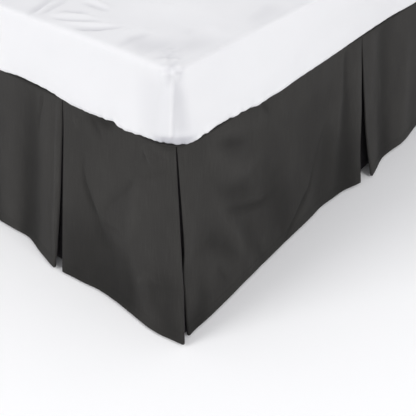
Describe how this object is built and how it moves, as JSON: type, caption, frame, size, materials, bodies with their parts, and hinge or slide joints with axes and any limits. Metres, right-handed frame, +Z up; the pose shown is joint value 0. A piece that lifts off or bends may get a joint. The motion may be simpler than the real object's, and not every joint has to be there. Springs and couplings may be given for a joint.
{
  "type": "bed skirt on a single bed base with its mattress",
  "caption": "Pleated bed skirt with a platform and three drops with inverted pleats, hanging from a plain bed base under its mattress.",
  "frame": {"origin": "middle of the whole outline, on the floor", "axes": "+Z up; +Y along the bed from its foot to its head; +X to the right of the bed seen from its foot"},
  "size_m": [1.0474, 2.0096, 0.5321],
  "materials": {
    "skirt_cloth": "plain charcoal woven cloth, pressed folds",
    "white_cover": "white cotton fitted cover",
    "base_fabric": "plain pale woven upholstery",
    "glide_plastic": "matte black"
  },
  "bodies": {
    "root": {"platform": "skirt_cloth", "drop_foot": "skirt_cloth", "drop_right": "skirt_cloth", "drop_left": "skirt_cloth", "corner_underlay_right": "skirt_cloth", "corner_underlay_left": "skirt_cloth", "mattress": "white_cover", "bed_base": "base_fabric", "glide_1": "glide_plastic", "glide_2": "glide_plastic", "glide_3": "glide_plastic", "glide_4": "glide_plastic", "glide_5": "glide_plastic", "glide_6": "glide_plastic"}
  },
  "joints": []
}
